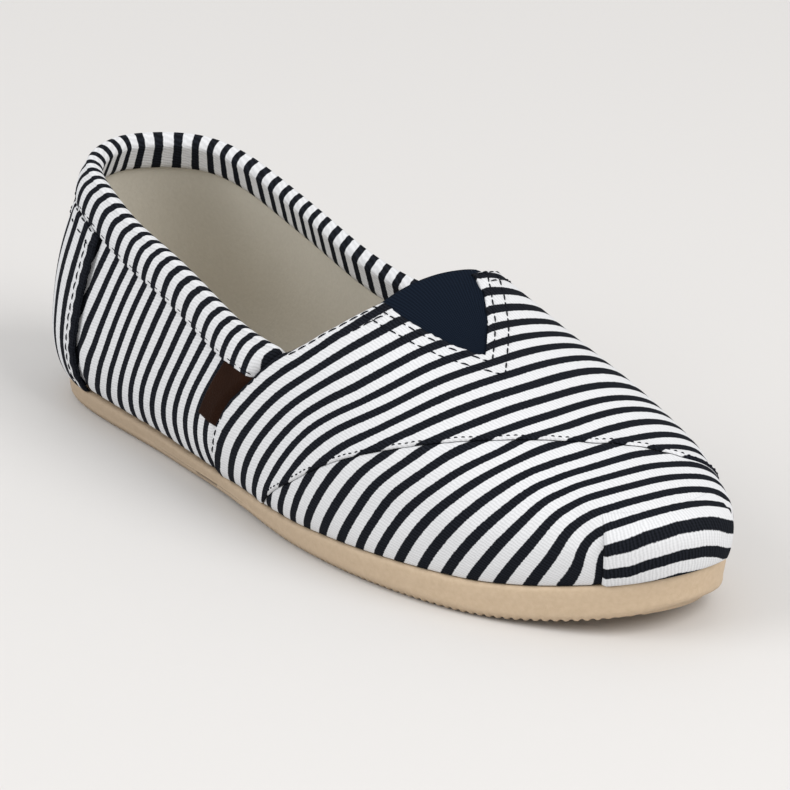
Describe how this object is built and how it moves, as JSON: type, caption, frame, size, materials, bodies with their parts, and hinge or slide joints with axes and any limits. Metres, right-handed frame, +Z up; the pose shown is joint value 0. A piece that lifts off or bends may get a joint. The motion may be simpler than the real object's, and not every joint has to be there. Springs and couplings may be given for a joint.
{
  "type": "slip-on sneaker",
  "caption": "Low canvas slip-on shoe with a round closed toe, an elastic V at the throat, a bound collar and a flat moulded rubber sole.",
  "frame": {"origin": "under the middle of the shoe's box, on the floor that the sole stands on", "axes": "+X from heel to toe, +Y to the inner (medial) side of the foot, +Z up"},
  "size_m": [0.2588, 0.0906, 0.0725],
  "materials": {
    "sole_rubber": "matt fine-grained moulded rubber",
    "footbed_cloth": "plain woven footbed cover",
    "striped_canvas": "twill canvas in narrow navy and white stripes",
    "counter_canvas": "twill canvas in narrow navy and white stripes",
    "binding_canvas": "folded twill canvas binding, stripes across it",
    "elastic": "dark navy ribbed elastic",
    "tag_leather": "dark brown matt leather, bare"
  },
  "bodies": {
    "root": {"outsole": "sole_rubber", "insole": "footbed_cloth", "upper": "striped_canvas", "gore": "elastic", "heel_counter": "counter_canvas", "collar_band": "binding_canvas", "side_tag": "tag_leather", "heel_tab": "tag_leather"}
  },
  "joints": []
}
